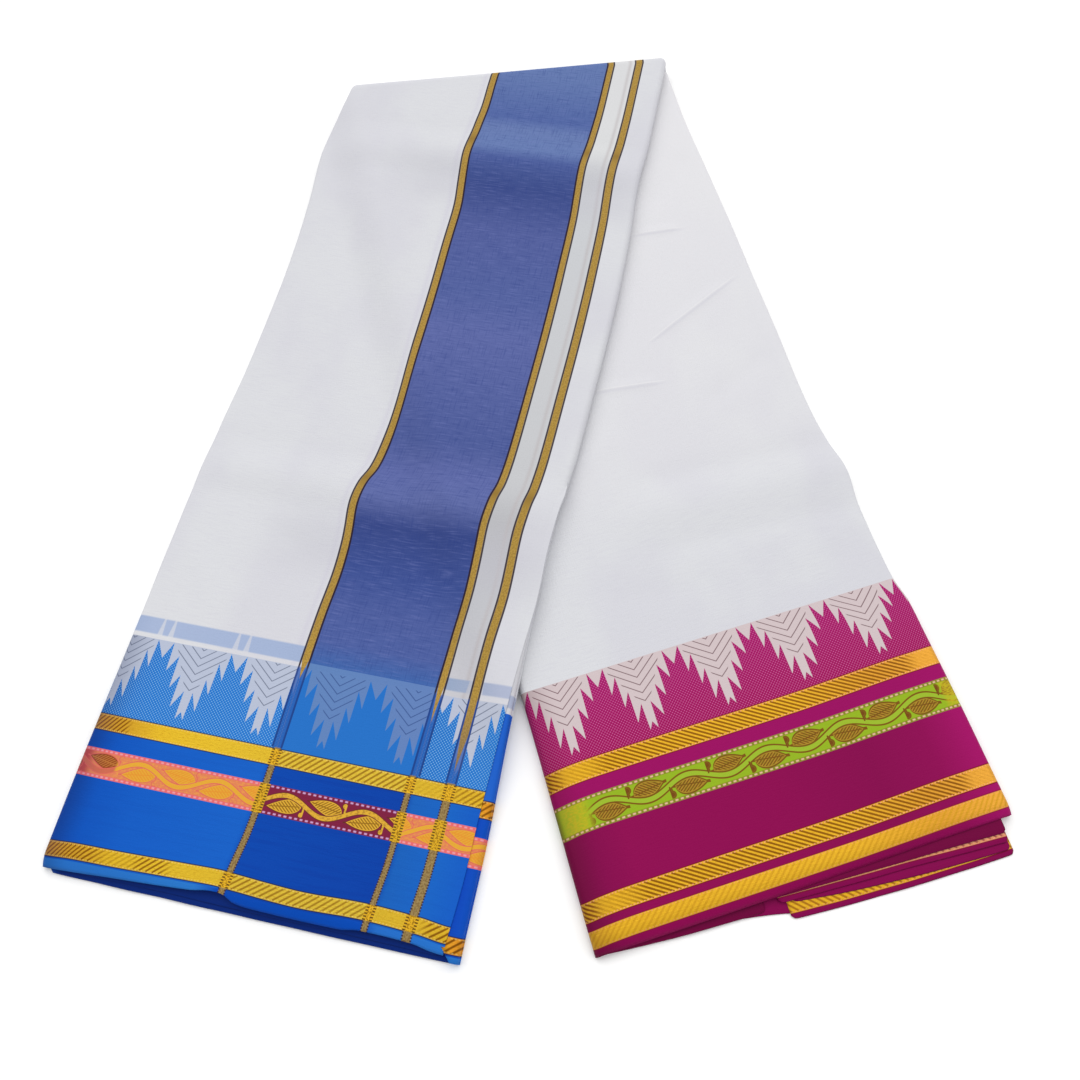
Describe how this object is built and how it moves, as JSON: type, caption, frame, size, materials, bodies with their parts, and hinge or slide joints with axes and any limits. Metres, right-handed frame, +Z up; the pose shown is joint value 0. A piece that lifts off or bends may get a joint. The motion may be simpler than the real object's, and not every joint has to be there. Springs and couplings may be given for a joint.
{
  "type": "folded dhoti cloth",
  "caption": "Long white dhoti cloth folded to a strip and laid flat in a V, with a blue and a magenta temple border and a blue end stripe.",
  "frame": {"origin": "on the flat underside, on the middle line of the V, 0.33 m below the nominal fold line", "axes": "+Z up from the surface it lies on, +Y from the hems towards the fold, +X from the blue hem towards the magenta hem"},
  "size_m": [0.5618, 0.662, 0.0186],
  "materials": {
    "cotton_with_blue_border": "fine plain-woven white cotton with a satin blue border, gold bands and a blue end stripe",
    "cotton_with_magenta_border": "fine plain-woven white cotton with a satin magenta border and gold bands",
    "folded_plies": "the same white cotton in many plies, folded edges out",
    "blue_selvedge": "satin blue border weave",
    "magenta_selvedge": "satin magenta border weave"
  },
  "bodies": {
    "root": {"blue_end_face": "cotton_with_blue_border", "magenta_end_face": "cotton_with_magenta_border", "hidden_layers": "folded_plies", "blue_under_ply": "blue_selvedge", "magenta_under_ply": "magenta_selvedge", "magenta_second_ply": "magenta_selvedge", "magenta_third_ply": "magenta_selvedge"}
  },
  "joints": []
}
